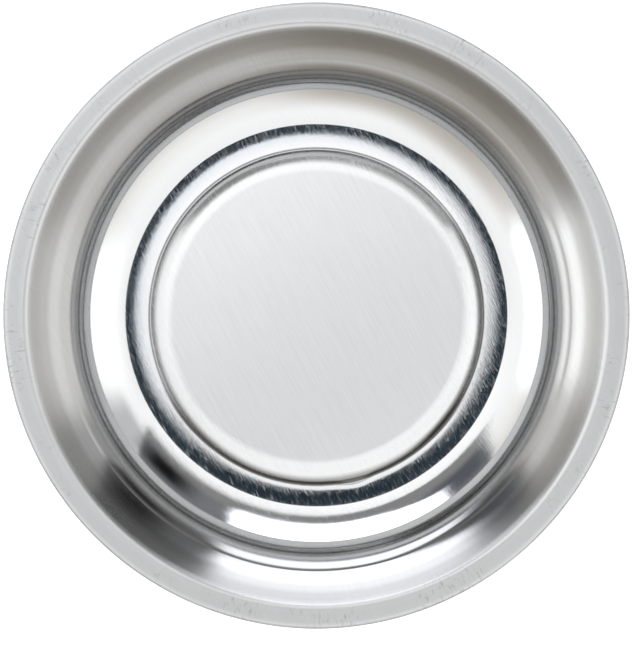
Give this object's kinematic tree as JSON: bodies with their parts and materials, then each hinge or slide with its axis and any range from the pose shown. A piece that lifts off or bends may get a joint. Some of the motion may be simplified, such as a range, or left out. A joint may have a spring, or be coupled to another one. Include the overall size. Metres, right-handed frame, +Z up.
{
  "type": "magnetic parts tray",
  "caption": "Round stainless steel parts tray with a flared rim and a raised flat centre over a hidden ring magnet, on a black rubber base.",
  "frame": {"origin": "on the tray's axis, at the underside of the base cover that the tray stands on", "axes": "+Z up along the axis of the dish; the tray is a body of revolution, so +X and +Y are any two level directions"},
  "size_m": [0.108, 0.108, 0.0243],
  "materials": {
    "stainless": "stamped stainless sheet: brushed centre, bright drawn wall, satin rim",
    "ferrite": "sintered ferrite, ground faces",
    "adhesive": "cured epoxy",
    "cover_rubber": "moulded black rubber, matt"
  },
  "bodies": {
    "root": {"bowl": "stainless", "magnet_bond": "adhesive", "ring_magnet": "ferrite", "cover_bond": "adhesive", "base_cover": "cover_rubber"}
  },
  "joints": []
}
